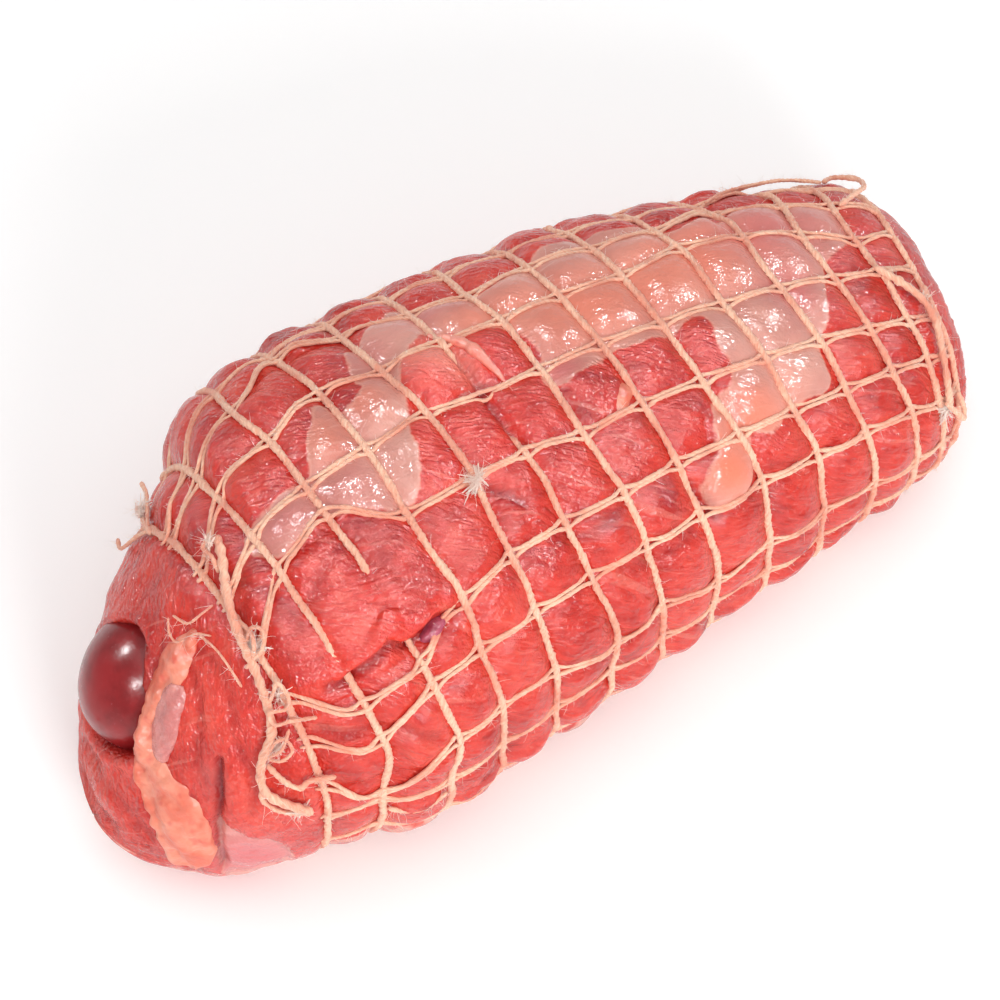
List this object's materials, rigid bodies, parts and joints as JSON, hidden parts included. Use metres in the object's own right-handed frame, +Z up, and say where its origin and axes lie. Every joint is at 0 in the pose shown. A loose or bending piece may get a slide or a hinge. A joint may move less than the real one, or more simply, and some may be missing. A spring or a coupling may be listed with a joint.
{
  "type": "raw veal kidney roast",
  "caption": "Raw boned veal loin rolled round its kidney and held in an elastic knitted butcher's net, lying on its side.",
  "frame": {"origin": "middle of the roast's outline seen from above, on the surface that it lies on", "axes": "+X along the roll from the kidney end to the narrow far end, +Y across it, +Z up"},
  "size_m": [0.2947, 0.138, 0.1166],
  "materials": {
    "veal": "moist raw muscle, fine grained, with small wet highlights",
    "silverskin": "thin pale skin over the muscle, moist and smooth",
    "kidney": "smooth moist dark red",
    "kidney_fat": "soft pale fat, moist",
    "net_cord": "cream knitted cotton cord, tinted by the meat"
  },
  "bodies": {
    "root": {"veal_roll": "veal", "kidney": "kidney", "kidney_fat": "kidney_fat", "net": "net_cord", "tie_cord": "net_cord"}
  },
  "joints": []
}
